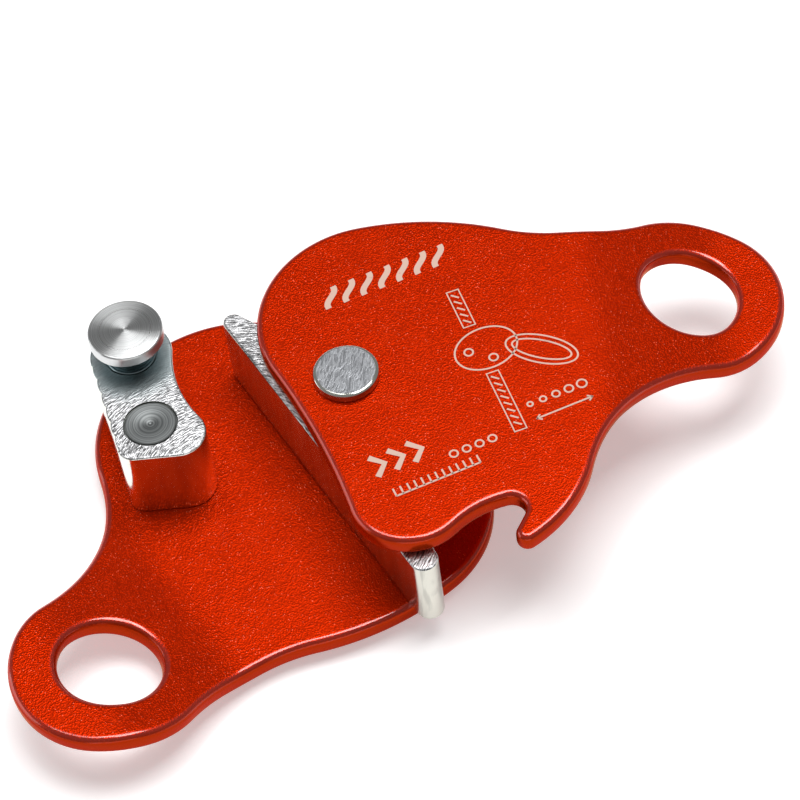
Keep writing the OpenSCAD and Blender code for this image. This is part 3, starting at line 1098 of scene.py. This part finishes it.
# %% Draw the chevrons, the scale and the sizes
chevron = [along(sign_turn, -1.1, -sign_half), along(sign_turn, 1.1, 0), along(sign_turn, -1.1, sign_half)]
draw_sign([chevron], False, thick, copies=3, start=(4.6, -20.6), step=sign_pitch)
dot = oval(origin, 0.75, 0.75, 0, steps=20)
draw_sign([dot], True, thin, copies=4, start=(18.0, -19.8), step=along(sign_turn, 2.5))
tick = [along(sign_turn, 0, -0.9), along(sign_turn, 0, 0.9)]
draw_sign([tick], False, thin, copies=13, start=(7.0, -26.9), step=along(sign_turn, 1.35))
draw_sign([[origin, along(sign_turn, 16.2)]], False, thin, start=(7.3, -27.7))
size_ring = oval(origin, 0.5, 0.5, 0, steps=24)
draw_sign([size_ring], True, thin, copies=5, start=(32.4, -10.6), step=along(sign_turn, 2.55), growth=0.2)
arrow = [along(sign_turn, 0.9, 0.6), origin, along(sign_turn, 0.9, -0.6)]
shaft = along(sign_turn, 11.0)
draw_sign([arrow, [origin, shaft], [shaft - p for p in arrow]], False, thin, start=(33.3, -14.0))
print(len(signs), "signs drawn")


# %% Place the signs on the front plate
def join_signs():
    """One mesh of all the strokes, turned and lifted on to the outer face."""
    bm = bmesh.new()
    for mesh in signs:
        bm.from_mesh(mesh)
    lifted = Matrix.Translation((0, 0, front_top * MM)) @ Matrix.Rotation(open_angle, 4, "Z")
    bmesh.ops.transform(bm, matrix=lifted, verts=bm.verts)
    bmesh.ops.recalc_face_normals(bm, faces=bm.faces)
    points = [tuple(v.co / MM) for v in bm.verts]
    bm.verts.index_update()
    faces = [tuple(v.index for v in face.verts) for face in bm.faces]
    bm.free()
    return {"points": points, "faces": faces}


finish_piece("etched_signs", join_signs(), [bared_metal], "front_plate", None)

# %% [markdown]
# ## The shoe and the jaw
# The rope is gripped between a long shoe that tilts on the pivot and a fixed jaw. Both are
# lengths of extruded bar: their sides are smooth and reflect the orange plates, and their
# ends keep the marks of the saw.

# %% Make the shoe
shoe_low, shoe_high = (corner.z for corner in box_mm("rope_shoe"))
shoe_face, shoe_long, shoe_short, shoe_nose_r, shoe_toe_r = 11, 41.6, 28.8, 2.6, 1.9
shoe_lug_r, shoe_back_r, shoe_tilt, sleeve_r = 9.5, 60, radians(3), 6.05
shoe_edge_r, cut_slope = 0.45, 0.4
shoe_lug = (origin, shoe_lug_r)
shoe_tip = (Vector((shoe_face - shoe_nose_r, shoe_long - shoe_nose_r)), shoe_nose_r)
shoe_toe = (Vector((shoe_face - shoe_toe_r, shoe_toe_r - shoe_short)), shoe_toe_r)
shoe_rim = [shoe_tip, hollow(shoe_tip, shoe_lug, shoe_back_r), shoe_lug,
            hollow(shoe_lug, shoe_toe, shoe_back_r), shoe_toe]
shoe_shape = slab(lambda inset: rim_line(shoe_rim, inset), shoe_high - shoe_low, shoe_edge_r,
                  [round_bore(origin, sleeve_r + running_fit)])
lean = Matrix.Rotation(-shoe_tilt, 2)
shoe_shape["points"] = [(*(lean @ Vector((x, y))), z + shoe_low) for x, y, z in shoe_shape["points"]]


def ends_or_sides(centre, normal):
    """Material 0 on the two cut ends of a bar and most of their rounding, and 1 on its sides."""
    return 0 if abs(normal.z) > cut_slope else 1


finish_piece("grip_shoe", shoe_shape, [sawn_metal, drawn_metal], "rope_shoe",
             "rope_shoe", pick=ends_or_sides)

# %% [markdown]
# The jaw's outer wall is fluted with shallow scallops. A boolean cut could make them, but
# the wall is part of an outline already, so its straight run is taken out of the outline
# and one with ripples is put in its place.

# %% Make the jaw
jaw_corner = (pin + Vector((-2.8, 4.9)), 5.2)
jaw_heel = (pin + Vector((5.2, 2.5)), 3.0)
pin_r, jaw_stud_wall, jaw_hollow_r = 5.0, 2.7, 25
jaw_end = (stud, pin_r + jaw_stud_wall)
jaw_rim = [jaw_heel, jaw_corner, hollow(jaw_corner, jaw_end, jaw_hollow_r), jaw_end]
flute_pitch, flute_depth, flute_steps, flute_roundness = 3.2, 0.35, 12, 0.6
jaw_edge_r, pin_bore_edge, wall_search = 0.4, 0.08, 0.5
wall_heading = run_heading(jaw_end, jaw_heel)
wall_start = jaw_end[0] + jaw_end[1] * heading(wall_heading - pi / 2)
wall_end = jaw_heel[0] + jaw_heel[1] * heading(wall_heading - pi / 2)
flutes = int((wall_end - wall_start).length / flute_pitch)


def jaw_line(inset):
    """The jaw's outline, with shallow scallops down its straight outer wall."""
    onward, inward = heading(wall_heading), heading(wall_heading + pi / 2)
    length = (wall_end - wall_start).length
    kept = []
    for p in rim_line(jaw_rim, inset):
        beside_wall = same_place < (p - wall_start).dot(onward) < length - same_place
        if not (beside_wall and (p - wall_start).dot(inward) < inset + wall_search):
            kept.append(p)
    gap = max(range(len(kept)), key=lambda i: (kept[(i + 1) % len(kept)] - kept[i]).length)
    steps = flutes * flute_steps
    wall = []
    for k in range(1, steps):
        depth = flute_depth * (1 - abs(sin(pi * flutes * k / steps)) ** flute_roundness)
        wall.append(wall_start + onward * length * k / steps + inward * (inset + depth))
    return kept[:gap + 1] + wall + kept[gap + 1:]


jaw_bores = [round_bore(place, pin_r + running_fit, pin_bore_edge) for place in (pin, stud)]
jaw_shape = slab(jaw_line, block_top - back_top, jaw_edge_r, jaw_bores)
jaw_shape["points"] = [(x, y, z + back_top) for x, y, z in jaw_shape["points"]]
finish_piece("fixed_jaw", jaw_shape, [sawn_metal, polished_metal], "frame", "jaw_block",
             pick=ends_or_sides)
print("the jaw's wall has", flutes, "scallops")

# %% [markdown]
# ## Turned pieces
# The rivet, the pin, the stud, the sleeve and the washers are all turned on a lathe, so
# each is one profile of radii and heights spun round its axis. Small rounds and dimples are
# in the profile itself, where a bump texture would only pretend to be a shape.

# %% Helpers for turned pieces
spin_steps, round_steps = 128, 5


def turned(centre, profile, bored=False):
    """Spins (radius, height) points. A bored profile is closed on itself."""
    shape = {"points": [], "faces": []}
    rings = []
    for r, z in profile:
        count = spin_steps if r > 0 else 1
        rings.append([len(shape["points"]) + k for k in range(count)])
        for k in range(count):
            p = centre + r * heading(tau * k / spin_steps)
            shape["points"].append((p.x, p.y, z))
    pairs = list(zip(rings, rings[1:])) + ([(rings[-1], rings[0])] if bored else [])
    for low, high in pairs:
        for k in range(spin_steps):
            corners = [low[k % len(low)], low[(k + 1) % len(low)],
                       high[(k + 1) % len(high)], high[k % len(high)]]
            shape["faces"].append(tuple(dict.fromkeys(corners)))
    return shape


def rounded(r, z, size, up):
    """Profile points of a rounded outer corner at (r, z); up is 1 for a top and -1 for a bottom."""
    turns = [k * pi / 2 / round_steps for k in range(round_steps + 1)]
    corner = [(r - size * (1 - cos(a)), z - up * size * (1 - sin(a))) for a in turns]
    return corner if up > 0 else corner[::-1]


def foot(r, height, size):
    """The peened head at the back end of a pin, from its centre outwards."""
    return [(0, 0.05), (r * 0.5, 0.02)] + rounded(r, 0, size, -1) + [(r, height)]


# %% Sizes of the heads
head_h = back_z
rivet_low, rivet_high = box_mm("pivot_rivet")
rivet_head_r = (rivet_high.x - rivet_low.x) / 2
rivet_head_z = rivet_high.z - head_h
stud_low, stud_high = box_mm("lock_stud")
stud_head_r = (stud_high.x - stud_low.x) / 2
stud_head_z = front_top + 0.5
print("heads:", round(rivet_head_r, 2), "and", round(stud_head_r, 2), "mm in radius")

# %% [markdown]
# ### The pivot rivet
# Its head is flat and rubbed dull, with a bright worn chamfer round it. The chamfer is a
# few steps of the profile, and each face of the mesh gets its metal by the way it faces.

# %% Make the rivet
flat_slope = 0.98


def face_side_or_edge(centre, normal):
    """Material 0 on the rivet's flat faces, 1 on its sides, and 2 on its bright chamfers."""
    if abs(normal.z) > flat_slope:
        return 0
    return 1 if abs(normal.z) < cut_slope else 2


rivet_top = rivet_high.z
rivet_profile = (foot(rivet_head_r, head_h, 0.45) + [(shank_r, head_h), (shank_r, rivet_head_z)]
                 + [(rivet_head_r - 0.25, rivet_head_z), (rivet_head_r, rivet_head_z + 0.3)]
                 + [(rivet_head_r, rivet_top - 0.45), (rivet_head_r - 0.06, rivet_top - 0.26)]
                 + [(rivet_head_r - 0.18, rivet_top - 0.16), (rivet_head_r - 0.6, rivet_top), (0, rivet_top)])
finish_piece("pivot_rivet_turned", turned(origin, rivet_profile), [rivet_metal, drawn_metal, polished_metal],
             "frame", "pivot_rivet", crisp=20, pick=face_side_or_edge)


# %% [markdown]
# ### The plain pin and the stud
# Both are the same pin where they pass through the jaw. A thin dark ring shows where each
# meets it, so a narrow deep gap is left there. The stud goes on into a thin neck for the
# front plate's hook, and a wide turned head that keeps the hook from lifting off.

# %% Make the pin
ring_gap, ring_depth, pin_chamfer = 0.3, 0.9, 0.12


def pin_rim(z):
    """The rim of a flush end: a deep narrow step, which shows as a dark ring round it."""
    core_r = pin_r - ring_gap
    return [(pin_r, z - ring_depth), (core_r, z - ring_depth + 0.05), (core_r, z - pin_chamfer),
            (core_r - pin_chamfer, z)]


def pin_top(z):
    """The flush end of a pin, with a ridged dimple from the lathe's centre."""
    return pin_rim(z) + [(0.9, z), (0.75, z - 0.1), (0.5, z - 0.12), (0.4, z - 0.02), (0.25, z - 0.14),
                         (0, z - 0.2)]


lower_pin = foot(pin_r, head_h, 0.4) + [(tail_r, head_h), (tail_r, back_top), (pin_r, back_top)]
finish_piece("plain_pin_turned", turned(pin, lower_pin + pin_top(block_top)), [pin_metal], "frame",
             "jaw_pin")

# %% Make the stud
neck_foot, head_chamfer, head_rounding = 0.5, 0.25, 0.5
stud_profile = (lower_pin + pin_rim(block_top) + [(neck_r + neck_foot, block_top)]
                + [(neck_r + 0.15, block_top + 0.15), (neck_r, block_top + neck_foot), (neck_r, stud_head_z)]
                + [(stud_head_r - head_chamfer, stud_head_z), (stud_head_r, stud_head_z + head_chamfer)]
                + rounded(stud_head_r, stud_high.z, head_rounding, 1) + [(0, stud_high.z)])


def head_or_root(centre, normal):
    """Material 0 on the stud's head, and 1, a darker teal steel with painted shade, on all that stays in its
    shade.
    """
    return 0 if centre.z > stud_head_z + same_place else 1


finish_piece("lock_stud_turned", turned(stud, stud_profile), [stud_metal, shaded_root_metal], "frame",
             "lock_stud", pick=head_or_root)


# %% [markdown]
# ### The sleeve and the washers
# The sleeve is hidden inside the shoe, and the washers show only as thin edges in the gaps
# beside it. All three are one kind of ring with small chamfers, as tall and as wide as the
# CAD node that each stands for, so one loop makes them.

# %% Make the sleeve and the washers
ring_chamfer, ring_bore = 0.08, shank_r + running_fit


def ring_profile(r, low, high):
    """A closed profile of a ring round the rivet, with small chamfers outside."""
    return [(ring_bore, low), (r - ring_chamfer, low), (r, low + ring_chamfer),
            (r, high - ring_chamfer), (r - ring_chamfer, high), (ring_bore, high)]


for name, node, metal, slot in (("spacer_sleeve", "pivot_sleeve", stud_metal, "sleeve_steel"),
                                ("back_thrust_washer", "back_washer", brass_metal, "washer_brass"),
                                ("front_thrust_washer", "front_washer", brass_metal, "washer_brass")):
    low, high = box_mm(node)
    profile = ring_profile((high.x - low.x) / 2, low.z, high.z)
    finish_piece(name, turned(origin, profile, bored=True), [metal], "frame", node)
